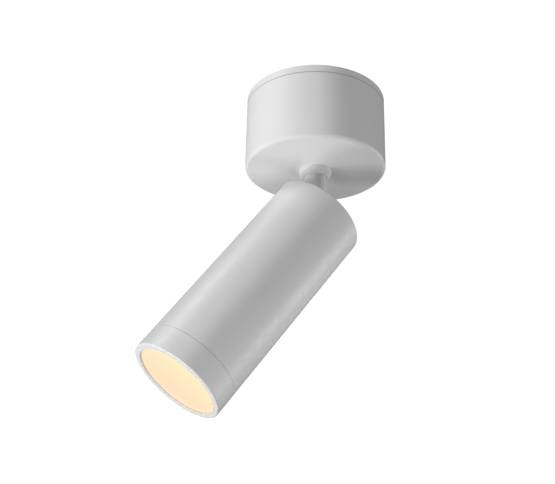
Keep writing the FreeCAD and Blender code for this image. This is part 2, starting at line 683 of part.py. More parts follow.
def make_driver_case():
    """Moulded driver case against the plate, open downwards, with a fixing ear at each end."""
    body = new_body("driver_case", hang)
    extrude(body, "block", lambda sketch: outline(
        sketch, box_corners(f"-{DRIVER_X}", DRIVER_X, DRIVER_NEAR, DRIVER_FAR)), "plate_web", LID_START)
    round_uprights(body, "corners", "driver_corner")
    extrude(body, "cavity", lambda sketch: outline(
        sketch, box_corners(f"-({DRIVER_X} - driver_wall)", f"({DRIVER_X} - driver_wall)",
                            f"({DRIVER_NEAR} + driver_wall)", f"({DRIVER_FAR} - driver_wall)")),
            CAVITY_TOP, LID_START, "Pocket")

    def ears(sketch):
        low, high = f"({DRIVER_Y} - ear_width / 2)", f"({DRIVER_Y} + ear_width / 2)"
        inner = f"({DRIVER_X} - driver_wall / 2)"
        outline(sketch, box_corners(f"-{EAR_END}", f"-{inner}", low, high))
        outline(sketch, box_corners(inner, EAR_END, low, high))

    extrude(body, "ears", ears, "plate_web", "(plate_web + ear_thickness)")

    def ear_holes(sketch):
        circle(sketch, f"-{EAR_SCREW_X}", DRIVER_Y, "(small_screw + fit_play)")
        circle(sketch, EAR_SCREW_X, DRIVER_Y, "(small_screw + fit_play)")

    extrude(body, "ear_holes", ear_holes, "plate_web", "(plate_web + ear_thickness)", "Pocket")


def make_driver_lid():
    """Lid of the driver case, with the two holes that its output wires leave by."""
    body = new_body("driver_lid", hang)
    extrude(body, "plate", lambda sketch: outline(
        sketch, box_corners(f"-{DRIVER_X}", DRIVER_X, DRIVER_NEAR, DRIVER_FAR)), LID_START, DRIVER_END)
    round_uprights(body, "corners", "driver_corner")
    inset = "(driver_wall + fit_play)"
    extrude(body, "lip", lambda sketch: outline(
        sketch, box_corners(f"-({DRIVER_X} - {inset})", f"({DRIVER_X} - {inset})",
                            f"({DRIVER_NEAR} + {inset})", f"({DRIVER_FAR} - {inset})")),
            f"({LID_START} - driver_wall)", LID_START)

    def wire_holes(sketch):
        circle(sketch, "-lead_offset", OUTPUT_Y, LEAD_HOLE)
        circle(sketch, "lead_offset", OUTPUT_Y, LEAD_HOLE)

    extrude(body, "wire_holes", wire_holes, f"({LID_START} - driver_wall)", DRIVER_END, "Pocket")


# Components on the driver board: middle along and across it, reach to each side along and across,
# bottom and top, as shares of the board's half length and half width and of the tallest height.
BLOCKS = [
    ("transformer", 0.07, 0.34, 0.29, 0.54, 0.0, 1.0),
    ("core", 0.07, 0.29, 0.16, 0.68, 0.25, 0.75),
    ("controller", 0.57, -0.59, 0.11, 0.20, 0.0, 0.2),
]
# Middle along and across, radius as a share of the half width, and top.
CANS = [
    ("capacitor", -0.63, 0.20, 0.38, 1.0),
    ("output_capacitor", 0.63, 0.38, 0.29, 1.0),
    ("inductor", -0.68, -0.58, 0.29, 0.67),
]


def make_driver_board():
    """Driver's circuit board with its transformer, capacitors, inductor and chip."""
    half_x = f"({DRIVER_X} - driver_wall - board_gap)"
    half_y = f"(({DRIVER_FAR} - {DRIVER_NEAR}) / 2 - driver_wall - board_gap)"
    face = f"({CAVITY_TOP} + board_thickness)"
    items = [block("board_plate", f"-{half_x}", half_x, f"({DRIVER_Y} - {half_y})",
                   f"({DRIVER_Y} + {half_y})", CAVITY_TOP, face)]
    for name, x, y, reach_x, reach_y, low, high in BLOCKS:
        items.append(block(
            f"board_{name}", f"({x - reach_x:.2f} * {half_x})", f"({x + reach_x:.2f} * {half_x})",
            f"({DRIVER_Y} + {y - reach_y:.2f} * {half_y})", f"({DRIVER_Y} + {y + reach_y:.2f} * {half_y})",
            f"({face} + {low} * part_height)", f"({face} + {high} * part_height)"))
    for name, x, y, radius, high in CANS:
        items.append(cylinder(
            f"board_{name}", f"{radius} * {half_y}", face, f"({face} + {high} * part_height)",
            f"{x} * {half_x}", f"{DRIVER_Y} + {y} * {half_y}"))
    item = fused("driver_board", items)
    hang(item)
    sub_parts.append(item)


def make_driver_screws():
    seat = "(plate_web + ear_thickness)"
    screws = [screw(f"driver_screw_{name}", x, DRIVER_Y, seat, "plate_skin", True)
              for name, x in (("left", f"-{EAR_SCREW_X}"), ("right", EAR_SCREW_X))]
    group("driver_screws", hang, screws)


def make_terminal_block():
    """Three pole terminal block with a wire way and a screw well at each pole."""
    body = new_body("terminal_block", hang)
    low = f"({TERMINAL_Y} - terminal_width / 2)"
    high = f"({TERMINAL_Y} + terminal_width / 2)"
    extrude(body, "block", lambda sketch: outline(
        sketch, box_corners("-terminal_length / 2", "terminal_length / 2", low, high)),
            "plate_web", TERMINAL_END)
    round_uprights(body, "corners", "driver_corner / 2")

    def wire_ways(sketch):
        for _, x in POLES:
            circle(sketch, x, TERMINAL_AXIS, "terminal_hole")

    def screw_wells(sketch):
        for _, x in POLES:
            circle(sketch, x, TERMINAL_Y, "(small_head + fit_play)")

    extrude_across(body, "wire_ways", wire_ways, f"2 * (overlap - {low})", kind="Pocket")
    extrude(body, "screw_wells", screw_wells, TERMINAL_AXIS, TERMINAL_END, "Pocket")


def make_terminal_screws():
    seat = f"({TERMINAL_AXIS} + terminal_hole)"
    screws = [screw(f"terminal_screw_{name}", x, TERMINAL_Y, seat, TERMINAL_AXIS, True)
              for name, x in POLES]
    group("terminal_screws", hang, screws)


def make_earth_screw():
    """Earth screw in the plate, with its cup washer."""
    washer_end = "(plate_web + washer_thickness)"
    bolt = screw("earth_bolt", EARTH_X, EARTH_Y, washer_end, "plate_skin", True)
    disc = cylinder("earth_disc", EARTH_RADIUS, "plate_web", washer_end, EARTH_X, EARTH_Y)
    hole = cylinder("earth_disc_hole", "small_screw + fit_play", "plate_web", washer_end,
                    EARTH_X, EARTH_Y)
    group("earth_screw", hang, [bolt, cut("earth_washer", disc, hole)])


def make_canopy_leads():
    """Mains wires from the terminals to the driver, and output wires to the top of the stem."""
    start = f"({TERMINAL_Y} + terminal_width / 2)"
    mains = [[(x, start, TERMINAL_AXIS), (x, DRIVER_NEAR, TERMINAL_AXIS)]
             for x in ("-terminal_pitch", "terminal_pitch")]
    lead_pair("mains_leads", hang, mains)
    crossing = f"({DRIVER_END} + lead_bend + lead_radius)"
    output = [[(x, OUTPUT_Y, f"({LID_START} - driver_wall)"), (x, OUTPUT_Y, crossing), (x, "0", crossing),
               (x, "0", LEAD_JOINT)] for x in ("-lead_offset", "lead_offset")]
    lead_pair("output_leads", hang, output)


# ---- swivel ------------------------------------------------------------------------------------
def make_swivel_bush():
    """Bush through the canopy's floor: visible collar, threaded neck and running bore."""
    body = new_body("swivel_bush", hang)
    end = "(canopy_depth + bush_nose)"
    revolve(body, "profile", [
        (BUSH_BORE, BUSH_TOP), ("bush_neck", BUSH_TOP), ("bush_neck", "canopy_depth"),
        ("bush_radius", "canopy_depth"), ("bush_radius", "(canopy_depth + bush_rim)"),
        (f"({BUSH_BORE} + bush_land)", end), (BUSH_BORE, end)])


def make_swivel_hardware():
    hex_nut("bush_nut", hang, "bush_nut_flats", NECK_HOLE, f"({FLOOR} - bush_nut_height)", FLOOR)
    ring("stop_pin", hang, "0", "stop_pin_radius", f"({STOP_TOP} - stop_pin_extra)",
         f"({FLOOR} + stop_pin_seat)")
    bind(sub_parts[-1], "Placement.Base.y", "-stop_pin_orbit")
    spring = ring("spring_washer", hang, "(stem_radius + fit_play)", "spring_radius", SHOULDER, BUSH_TOP)
    extrude(spring, "split", lambda sketch: outline(sketch, box_corners(
        "-spring_gap / 2", "spring_gap / 2", "0", "(spring_radius + overlap)")), SHOULDER, BUSH_TOP, "Pocket")
    washer = ring("stop_washer", hang, "(thread_radius + fit_play)", "stop_washer_radius",
                  STOP_TOP, SHOULDER)
    extrude(washer, "tab", lambda sketch: outline(
        sketch, box_corners("-stop_tab_width / 2", "stop_tab_width / 2", "-stop_tab_reach",
                            "-(stop_washer_radius - overlap)")), STOP_TOP, SHOULDER)
    hex_nut("stem_nut", hang, "stem_nut_flats", "(thread_radius + fit_play)", STEM_NUT_TOP, STOP_TOP)


def make_stem_tube():
    """Turned stem: threaded top, wire way, and a flat knuckle with a round end on the tilt axis."""
    body = new_body("stem_tube", hang)
    revolve(body, "profile", [
        ("0", STEM_TOP), ("thread_radius", STEM_TOP), ("thread_radius", SHOULDER),
        ("stem_radius", SHOULDER), ("stem_radius", STEM_END), ("0", STEM_END)])
    shoulder = "(pivot_depth - knuckle_shoulder)"
    extrude(body, "wire_way", lambda sketch: circle(sketch, "0", "0", "stem_bore"),
            STEM_TOP, f"({shoulder} - overlap)", "Pocket")

    def flats(sketch):
        outline(sketch, box_corners(f"-{PAST_STEM}", f"-{KNUCKLE_HALF}", shoulder, PAST_STEM_END))
        outline(sketch, box_corners(KNUCKLE_HALF, PAST_STEM, shoulder, PAST_STEM_END))

    extrude_across(body, "flats", flats, THROUGH_STEM, "YZ_Plane", "Pocket")
    extrude_across(body, "round_end", round_end, THROUGH_STEM, kind="Pocket")
    extrude_across(body, "pin_bore", lambda sketch: circle(
        sketch, "0", "pivot_depth", PIN_HOLE), THROUGH_STEM, kind="Pocket")

    def lead_holes(sketch):
        circle(sketch, "-lead_offset", "0", LEAD_HOLE)
        circle(sketch, "lead_offset", "0", LEAD_HOLE)

    extrude(body, "lead_holes", lead_holes, f"({shoulder} - overlap)", PAST_STEM_END, "Pocket")


def round_end(sketch):
    """Everything below the tilt axis that lies outside the stem's own radius about it."""
    radius, depth = value("stem_radius"), value("pivot_depth")
    centre = Part.Circle(FreeCAD.Vector(0, depth, 0), FreeCAD.Vector(0, 0, 1), radius)
    arc = sketch.addGeometry(Part.ArcOfCircle(centre, 0, math.pi), False)
    corners = [
        ("stem_radius", "pivot_depth"), (PAST_STEM, "pivot_depth"), (PAST_STEM, PAST_STEM_END),
        (f"-{PAST_STEM}", PAST_STEM_END), (f"-{PAST_STEM}", "pivot_depth"), ("-stem_radius", "pivot_depth")]
    points = [FreeCAD.Vector(value(x), value(y), 0) for x, y in corners]
    lines = [sketch.addGeometry(Part.LineSegment(start, end), False)
             for start, end in zip(points, points[1:])]
    for line, (x, y) in zip(lines, corners):
        fix(sketch, "DistanceX", line, 1, x)
        fix(sketch, "DistanceY", line, 1, y)
    for line, following in zip(lines, lines[1:]):
        sketch.addConstraint(Sketcher.Constraint("Coincident", line, 2, following, 1))
    fix(sketch, "DistanceX", lines[-1], 2, corners[-1][0])
    fix(sketch, "DistanceY", lines[-1], 2, corners[-1][1])
    sketch.addConstraint(Sketcher.Constraint("Coincident", arc, 1, lines[0], 1))
    sketch.addConstraint(Sketcher.Constraint("Coincident", arc, 2, lines[-1], 2))
    fix(sketch, "DistanceY", arc, 3, "pivot_depth")


def make_stem_leads():
    """Wires through the stem and out beside the pivot pin."""
    end = "(pivot_depth + pin_radius)"
    routes = [[(x, "0", LEAD_JOINT), (x, "0", end)] for x in ("-lead_offset", "lead_offset")]
    lead_pair("stem_leads", hang, routes)


# ---- tilting joint -----------------------------------------------------------------------------
def make_rear_cap():
    """Cast rear cap: full width slot for the stem, two pivot barrels and screw counterbores."""
    body = new_body("rear_cap", lean)
    revolve(body, "disc", box_corners("0", SLIDE_RADIUS, "cap_recess", CAP_END))
    extrude_across(body, "barrels", lambda sketch: circle(
        sketch, "0", "pivot_inset", "barrel_radius"), f"2 * {BARREL_END}")

    def trenches(sketch):
        near, far = BARREL_END, f"({BARREL_END} + barrel_pocket)"
        half = "(pin_head_radius + tool_room)"
        outline(sketch, box_corners(f"-{half}", half, f"-{far}", f"-{near}"))
        outline(sketch, box_corners(f"-{half}", half, near, far))

    extrude(body, "trenches", trenches, "cap_recess", "(pivot_inset + pin_head_radius + tool_room)", "Pocket")
    extrude(body, "slot", lambda sketch: outline(sketch, box_corners(
        "-head_radius", "head_radius", f"-{SLOT_HALF}", SLOT_HALF)),
            "(pivot_inset - barrel_radius - overlap)", SLOT_FLOOR, "Pocket")
    extrude_across(body, "pin_bore", lambda sketch: circle(
        sketch, "0", "pivot_inset", PIN_HOLE), f"2 * ({BARREL_END} + overlap)", kind="Pocket")
    extrude(body, "wire_slot", lambda sketch: outline(sketch, box_corners(
        "-stem_radius", "stem_radius", f"-{WAY_RADIUS}", WAY_RADIUS)), SLOT_FLOOR, CAP_END, "Pocket")
    well = extrude(body, "screw_well", lambda sketch: circle(
        sketch, CAP_SCREW_SPOT, CAP_SCREW_SPOT, "(small_head + fit_play)"),
                   "cap_recess", CAP_SCREW_SEAT, "Pocket")
    hole = extrude(body, "screw_hole", lambda sketch: circle(
        sketch, CAP_SCREW_SPOT, CAP_SCREW_SPOT, "(small_screw + fit_play)"),
                   CAP_SCREW_SEAT, CAP_END, "Pocket")
    repeat(body, "screw_holes", [well, hole], "cap_screw_count")


def make_pivot_hardware():
    """Pivot pin with its head, spring washer and nut, and the friction washers at the knuckle."""
    pin = new_body("pivot_pin", across)
    tip = f"({BARREL_END} + pin_spring + pin_nut_height)"
    head_end = f"(-{BARREL_END} - pin_head_height)"
    revolve(pin, "profile", [
        ("0", head_end), ("pin_head_radius", head_end), ("pin_head_radius", f"-{BARREL_END}"),
        ("pin_radius", f"-{BARREL_END}"), ("pin_radius", tip), ("0", tip)])
    extrude(pin, "socket", lambda sketch: hexagon(sketch, "2 * socket_radius"),
            head_end, f"({head_end} + socket_depth)", "Pocket")
    nut_start = f"({BARREL_END} + pin_spring)"
    ring("pivot_spring", across, PIN_HOLE, "(pin_nut_flats / 2)", BARREL_END, nut_start)
    hex_nut("pivot_nut", across, "pin_nut_flats", PIN_HOLE, nut_start, tip)
    washers = []
    inner = f"({KNUCKLE_HALF} + tilt_play / 2)"
    outer = f"({inner} + friction_thickness)"
    for name, start, end in (("left", f"-{outer}", f"-{inner}"), ("right", inner, outer)):
        disc = cylinder(f"friction_disc_{name}", "friction_radius", start, end)
        hole = cylinder(f"friction_hole_{name}", PIN_HOLE, start, end)
        washers.append(cut(f"friction_washer_{name}", disc, hole))
    group("friction_washers", across, washers)


# ---- head --------------------------------------------------------------------------------------
def make_head_tube():
    """Tube with an inner ring that the rear cap and the heat sink are drawn together on."""
    body = new_body("head_tube", lean)
    front = f"({RING_START} - seam_gap)"
    revolve(body, "profile", [
        (TUBE_BORE, "0"), ("head_radius", "0"), ("head_radius", front), (TUBE_BORE, front),
        (TUBE_BORE, SINK_START), (WEB_RADIUS, SINK_START), (WEB_RADIUS, CAP_END), (TUBE_BORE, CAP_END)])
    round_rim(body, "rear_edge", "head_radius", "0", "rear_edge")
    hole = extrude(body, "screw_hole", lambda sketch: circle(
        sketch, CAP_SCREW_SPOT, CAP_SCREW_SPOT, "(small_screw + fit_play)"), CAP_END, SINK_START, "Pocket")
    repeat(body, "screw_holes", [hole], "cap_screw_count")


def make_cap_screws():
    """Screws that draw cap and heat sink together on the tube's inner ring."""
    tip = f"({SINK_START} + cap_screw_grip)"
    screws = []
    for index in range(int(value("cap_screw_count"))):
        angle = f"(45 + 360 * {index} / cap_screw_count)"
        x, y = f"{CAP_SCREW_ORBIT} * cos({angle})", f"{CAP_SCREW_ORBIT} * sin({angle})"
        screws.append(screw(f"cap_screw_{index}", x, y, CAP_SCREW_SEAT, tip, False))
    group("cap_screws", lean, screws)


def make_heat_sink():
    """Finned aluminium heat sink: core, front disc for the LED, fins, and screw bosses beside fins."""
    body = new_body("heat_sink", lean)
    revolve(body, "core", [
        ("0", SINK_START), ("sink_core", SINK_START), ("sink_core", FIN_END), (SLIDE_RADIUS, FIN_END),
        (SLIDE_RADIUS, SINK_END), ("0", SINK_END)])
    fin = extrude(body, "fin", lambda sketch: outline(sketch, box_corners(
        "-fin_thickness / 2", "fin_thickness / 2", "(sink_core - overlap)", f"({SLIDE_RADIUS} - fin_gap)")),
                  SINK_START, FIN_END)
    repeat(body, "fins", [fin], "fin_count")
    boss = extrude(body, "boss", lambda sketch: circle(
        sketch, CAP_SCREW_SPOT, CAP_SCREW_SPOT, "boss_radius"), SINK_START, FIN_END)
    repeat(body, "bosses", [boss], "cap_screw_count")
    hole = extrude(body, "screw_hole", lambda sketch: circle(
        sketch, CAP_SCREW_SPOT, CAP_SCREW_SPOT, "small_screw"),
                   SINK_START, f"({SINK_START} + cap_screw_grip)", "Pocket")
    repeat(body, "screw_holes", [hole], "cap_screw_count")
    extrude(body, "wire_way", lambda sketch: circle(sketch, "lead_orbit", "0", WAY_RADIUS),
            SINK_START, SINK_END, "Pocket")

    def holder_holes(sketch):
        circle(sketch, "0", f"-{HOLDER_SCREW_Y}", "small_screw")
        circle(sketch, "0", HOLDER_SCREW_Y, "small_screw")

    extrude(body, "holder_holes", holder_holes, FIN_END, SINK_END, "Pocket")


def pierced_disc(name, start, end, bore=None):
    """Disc of the LED stack, with the wires' way and the holder's screw holes through it."""
    body = new_body(name, lean)

    def draw(sketch):
        circle(sketch, "0", "0", LED_RADIUS)
        circle(sketch, "lead_orbit", "0", WAY_RADIUS)
        circle(sketch, "0", f"-{HOLDER_SCREW_Y}", "(small_screw + fit_play)")
        circle(sketch, "0", HOLDER_SCREW_Y, "(small_screw + fit_play)")
        if bore:
            circle(sketch, "0", "0", bore)

    extrude(body, "disc", draw, start, end)


def make_led_stack():
    """Thermal pad, LED board, chip and the holder that presses them on the heat sink."""
    pierced_disc("thermal_pad", SINK_END, PAD_END)
    pierced_disc("led_board", PAD_END, LED_END)
    ring("led_chip", lean, "0", "chip_radius", LED_END, f"({LED_END} + chip_height)")
    pierced_disc("led_holder", LED_END, HOLDER_END, "holder_bore")
    screws = [screw(f"holder_screw_{name}", "0", y, HOLDER_END, f"({FIN_END} + plate_skin)", True)
              for name, y in (("left", f"-{HOLDER_SCREW_Y}"), ("right", HOLDER_SCREW_Y))]
    group("holder_screws", lean, screws)


def make_head_leads():
    """Wires from under the knuckle, beside the heat sink's core, to the LED board."""
    run = f"({CAP_END} + web_thickness / 2)"
    routes = [[("lead_offset", y, f"({SLOT_FLOOR} + lead_radius)"), ("lead_offset", y, run),
               ("lead_orbit", y, run), ("lead_orbit", y, LED_END)] for y in (f"-{LEAD_PITCH}", LEAD_PITCH)]
    lead_pair("head_leads", lean, routes)


def make_optics():
    """Reflector, silicone gasket, opal diffuser and the front ring that holds them."""
    reflector = new_body("reflector", lean)
    throat = "(holder_bore + fit_play)"
    mouth = f"({LENS_EDGE} - reflector_step)"
    revolve(reflector, "profile", [
        (throat, HOLDER_END), (f"({throat} + reflector_wall)", HOLDER_END),
        (mouth, FLANGE_BACK), (LENS_EDGE, FLANGE_BACK), (LENS_EDGE, GASKET_BACK),
        (f"({mouth} - reflector_wall)", GASKET_BACK)])
    ring("diffuser_gasket", lean, f"({LENS_EDGE} - gasket_width)", LENS_EDGE, GASKET_BACK, LENS_BACK)
    ring("diffuser", lean, "0", LENS_EDGE, LENS_BACK, LENS_FRONT)
    front = new_body("front_ring", lean)
    spigot_start = f"({RING_START} - front_spigot)"
    revolve(front, "profile", [
        (RING_BORE, spigot_start), (SLIDE_RADIUS, spigot_start), (SLIDE_RADIUS, RING_START),
        ("head_radius", RING_START), ("head_radius", "head_length"), (LENS_RADIUS, "head_length"),
        (LENS_RADIUS, LENS_FRONT), (RING_BORE, LENS_FRONT)])
    round_rim(front, "front_edge", "head_radius", "head_length", "front_edge")
    round_rim(front, "lip_edge", LENS_RADIUS, "head_length", "lip_edge")


make_mounting_plate()
make_cable_grommet()
make_canopy_shell()
make_driver_case()
make_driver_lid()
make_driver_board()
make_driver_screws()
make_terminal_block()
make_terminal_screws()
make_earth_screw()
make_canopy_leads()
make_swivel_bush()
make_swivel_hardware()
make_stem_tube()
make_stem_leads()
make_rear_cap()
make_pivot_hardware()
make_head_tube()
make_cap_screws()
make_heat_sink()
make_led_stack()
make_head_leads()
make_optics()

doc.recompute()
for item in doc.Objects:
    if "Invalid" in item.State or "Error" in item.State:
        raise RuntimeError(f"{item.Name} failed: {item.State}")
for item in sub_parts:
    if item.Shape.isNull() or not item.Shape.isValid():
        raise RuntimeError(f"{item.Label} has no valid shape")

os.makedirs("parts", exist_ok=True)
for item in sub_parts:
    item.Shape.exportStep(f"parts/{item.Label}.step")
    print(f"{item.Label}: {len(item.Shape.Solids)} solid(s), {item.Shape.Volume:.1f} mm3")
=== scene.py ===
"""Looks of the surface mounted ceiling spotlight: finishes, studio light and the photograph's view.

The lamp hangs below z = 0, in metres. Its head leans towards -X, and the camera looks up at it.
"""

import json
import math

import bpy
from mathutils import Matrix, Vector

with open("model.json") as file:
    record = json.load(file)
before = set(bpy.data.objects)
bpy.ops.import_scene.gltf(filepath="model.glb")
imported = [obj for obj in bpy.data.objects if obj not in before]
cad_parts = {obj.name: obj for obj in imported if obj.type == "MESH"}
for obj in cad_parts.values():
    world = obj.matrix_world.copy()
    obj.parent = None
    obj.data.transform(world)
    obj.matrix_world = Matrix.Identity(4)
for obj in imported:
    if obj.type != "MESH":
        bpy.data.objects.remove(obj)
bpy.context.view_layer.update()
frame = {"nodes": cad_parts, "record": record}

# ---- view: lengths in metres and angles in degrees -----------------------------------------------
PHOTO_WIDTH = 555
FOCAL_PIXELS = 989.33
SENSOR_MM = 36.0
CAMERA_RANGE = 0.61479
CAMERA_AZIMUTH = 20.93
CAMERA_HEADING = 18.57
LOOK_UP = 23.784
CAMERA_ROLL = 1.252
AIM_HEIGHT = -0.10092

# ---- places in the lamp's own frame --------------------------------------------------------------
JOINTS = {joint["name"]: joint for joint in frame["record"]["behaviour"]["joints"]}
PIVOT = Vector(JOINTS["tilt"]["pos_m"])
PIVOT_INSET = 0.003
REST_TILT = math.radians(36)
HEAD_AXIS = Vector((-math.sin(REST_TILT), 0, -math.cos(REST_TILT)))
HEAD_BASE = PIVOT - HEAD_AXIS * PIVOT_INSET
HEAD_TURN = (0, math.pi + REST_TILT, 0)
LENS_RADIUS = 0.0257
BOARD_UNDERSIDE = -0.00565
# Painted shade round the shadow gap below the plate's rim: the height of the gap's middle, and how far
# the darkened coat reaches above and below it.
SEAM_MIDDLE = -0.0051
PAINTED_SHADE_REACH = 0.00024


# ---- node helpers ------------------------------------------------------------------------------
class Finish:
    """A material with one principled shader, and short calls for the nodes that finishes share."""

    def __init__(self, name, colour, roughness, metallic=0.0, **constants):
        self.material = bpy.data.materials.new(name)
        self.material.use_nodes = True
        self.tree = self.material.node_tree
        self.shader = self.tree.nodes["Principled BSDF"]
        self.shader.inputs["Base Color"].default_value = (*colour, 1)
        self.shader.inputs["Roughness"].default_value = roughness
        self.shader.inputs["Metallic"].default_value = metallic
        for socket, number in constants.items():
            self.shader.inputs[socket.replace("_", " ")].default_value = number
        self.object_space = self.node("ShaderNodeTexCoord").outputs["Object"]

    def node(self, kind, **inputs):
        """New node. A socket passed as an input is linked, and anything else is its set value."""
        made = self.tree.nodes.new(kind)
        for name, given in inputs.items():
            self.feed(made.inputs[name.replace("_", " ")], given)
        return made

    def feed(self, socket, given):
        """Link a socket, or set an input's value."""
        if isinstance(given, bpy.types.NodeSocket):
            self.tree.links.new(given, socket)
        else:
            socket.default_value = given

    def math(self, operation, first, second=0.0):
        made = self.node("ShaderNodeMath")
        made.operation = operation
        self.feed(made.inputs[0], first)
        self.feed(made.inputs[1], second)
        return made.outputs[0]

    def head_space(self):
        """Coordinates from the head's rear plane, with z along its axis towards the lens."""
        mapping = self.node("ShaderNodeMapping", Vector=self.object_space)
        mapping.vector_type = "TEXTURE"
        mapping.inputs["Location"].default_value = HEAD_BASE
        mapping.inputs["Rotation"].default_value = HEAD_TURN
        return mapping.outputs["Vector"]

    def stretched(self, space, x, y, z):
        mapping = self.node("ShaderNodeMapping", Vector=space)
        mapping.inputs["Scale"].default_value = (x, y, z)
        return mapping.outputs["Vector"]

    def noise(self, scale, detail=3.0, space=None):
        made = self.node("ShaderNodeTexNoise", Vector=space or self.object_space, Scale=scale,
                         Detail=detail)
        return made.outputs["Fac"]

    def cells(self, scale):
        made = self.node("ShaderNodeTexVoronoi", Vector=self.object_space, Scale=scale)
        return made.outputs["Distance"]

    def part(self, axis, space=None):
        return self.node("ShaderNodeSeparateXYZ", Vector=space or self.object_space).outputs[axis]

    def spread(self, factor, low, high):
        """A factor's middle range mapped to low ... high."""
        made = self.node("ShaderNodeMapRange", Value=factor, From_Min=0.25, From_Max=0.75,
                         To_Min=low, To_Max=high)
        return made.outputs["Result"]

    def blend(self, factor, first, second):
        """Colour between two colours, which are sockets or plain colours."""
        made = self.node("ShaderNodeMix")
        made.data_type = "RGBA"
        self.feed(made.inputs[0], factor)
        for socket, given in ((made.inputs[6], first), (made.inputs[7], second)):
            self.feed(socket, given if isinstance(given, bpy.types.NodeSocket) else (*given, 1))
        return made.outputs[2]

    def tint(self, factor, first, second):
        """Base colour blended between two colours."""
        colour = self.blend(factor, first, second)
        self.feed(self.shader.inputs["Base Color"], colour)
        return colour

    def vary_roughness(self, factor, low, high):
        self.feed(self.shader.inputs["Roughness"], self.spread(factor, low, high))

    def bump(self, height, depth, strength=1.0, below=None):
        """Relief of a depth in metres. below is the bump under this one."""
        made = self.node("ShaderNodeBump", Height=height, Distance=depth, Strength=strength)
        if below:
            self.feed(made.inputs["Normal"], below)
        self.feed(self.shader.inputs["Normal"], made.outputs["Normal"])
        return made.outputs["Normal"]


def shade(colour, factor):
    return tuple(min(channel * factor, 1.0) for channel in colour)


# ---- finishes: one function each, named after the record's material slots -------------------------
def painted_shade_mask(finish):
    """Mask of the painted shade: 1 in and just beside the shadow gap below the plate's rim, and 0
    elsewhere.
    """
    off = finish.math("ABSOLUTE", finish.math("SUBTRACT", finish.part("Z"), SEAM_MIDDLE))
    return finish.math("LESS_THAN", off, PAINTED_SHADE_REACH)


def white_coat():
    """Fine matt powder coat: faint mottling over centimetres, orange peel and a grain on it, and
    painted shade in and beside the shadow gap below the plate's rim.
    """
    white = (0.83, 0.83, 0.83)
    painted_shade_level = 0.55
    finish = Finish("white_coat", white, 0.46, Specular_IOR_Level=0.45)
    mottle = finish.noise(45, detail=4)
    coat = finish.blend(finish.spread(mottle, 0, 1), shade(white, 0.985), shade(white, 1.012))
    # Painted shade: the coat in and beside the shadow gap below the plate's rim is darkened and stands
    # in for the gap's shadow.
    finish.tint(painted_shade_mask(finish), coat, shade(white, painted_shade_level))
    finish.vary_roughness(finish.noise(260, detail=5), 0.40, 0.52)
    peel = finish.bump(finish.noise(1500, detail=2), 0.00004, 0.28)
    finish.bump(finish.cells(5200), 0.00002, 0.14, below=peel)
    return finish


def steel():
    """Zinc plated steel: cool, with a faint passivation bloom and fine scratches."""
    finish = Finish("steel", (0.60, 0.61, 0.63), 0.34, 1.0)
    finish.tint(finish.noise(380, detail=4), (0.52, 0.55, 0.60), (0.66, 0.65, 0.60))
    finish.vary_roughness(finish.noise(1400, detail=6), 0.26, 0.46)
    scratches = finish.noise(900, detail=5, space=finish.stretched(finish.object_space, 6, 1, 1))
    finish.bump(scratches, 0.00002, 0.3)
    return finish


def stainless():
    """Turned stainless steel: fine rings round the tilt axis."""
    finish = Finish("stainless", (0.68, 0.68, 0.69), 0.25, 1.0)
    across = finish.stretched(finish.object_space, 1, 0.05, 1)
    finish.tint(finish.noise(600, space=across), (0.62, 0.62, 0.64), (0.72, 0.72, 0.72))
    finish.vary_roughness(finish.noise(2600, detail=5), 0.18, 0.34)
    rings = finish.noise(4500, detail=2, space=finish.stretched(finish.object_space, 0.1, 1, 0.1))
    finish.bump(rings, 0.000015, 0.4)
    return finish


def sink_aluminium():
    """Extruded aluminium: die lines along the head's axis and a soft clouded surface."""
    finish = Finish("sink_aluminium", (0.74, 0.75, 0.77), 0.38, 1.0)
    along = finish.stretched(finish.head_space(), 1, 1, 0.012)
    lines = finish.noise(3200, detail=4, space=along)
    finish.tint(finish.noise(160, detail=4), (0.68, 0.69, 0.72), (0.80, 0.80, 0.80))
    finish.vary_roughness(lines, 0.30, 0.50)
    finish.bump(lines, 0.00003, 0.45)
    return finish


def reflector_aluminium():
    """Spun and brightened aluminium: tool rings round the head's axis."""
    finish = Finish("reflector_aluminium", (0.90, 0.90, 0.90), 0.2, 1.0)
    rings = finish.noise(2600, detail=2, space=finish.stretched(finish.head_space(), 0.01, 0.01, 1))
    finish.vary_roughness(rings, 0.14, 0.28)
    finish.bump(rings, 0.00002, 0.35)
    return finish


def moulded(name, colour, roughness, grain, **constants):
    """Moulded plastic or rubber: spark-eroded grain, with slight changes of tone and gloss."""
    finish = Finish(name, colour, roughness, **constants)
    finish.tint(finish.noise(120, detail=3), shade(colour, 0.96), shade(colour, 1.03))
    finish.vary_roughness(finish.noise(900, detail=4), roughness - 0.06, roughness + 0.08)
    finish.bump(finish.cells(grain), 0.00003, 0.35)
    return finish


def driver_board():
    """Circuit board with green resist over its tracks, and dark or amber components below it."""
    finish = Finish("board_green", (0.05, 0.22, 0.10), 0.35, Coat_Weight=0.4, Coat_Roughness=0.12)
    cell = finish.node("ShaderNodeTexBrick", Vector=finish.object_space, Scale=320.0)
    tracks = finish.blend(cell.outputs["Fac"], (0.06, 0.26, 0.12), (0.10, 0.36, 0.16))
    is_component = finish.math("LESS_THAN", finish.part("Z"), BOARD_UNDERSIDE)
    body = finish.blend(finish.noise(90, detail=0), (0.03, 0.03, 0.035), (0.60, 0.42, 0.10))
    finish.tint(is_component, tracks, body)
    finish.bump(cell.outputs["Fac"], 0.00003, 0.5)
    return finish


def board_white():
    """White resist on the LED's aluminium board, with faint patches of track under it."""
    finish = Finish("board_white", (0.86, 0.86, 0.84), 0.4, Coat_Weight=0.3, Coat_Roughness=0.15)
    tracks = finish.noise(210, detail=1)
    finish.tint(finish.math("GREATER_THAN", tracks, 0.52), (0.84, 0.84, 0.82), (0.89, 0.89, 0.87))
    finish.bump(tracks, 0.00003, 0.3)
    return finish


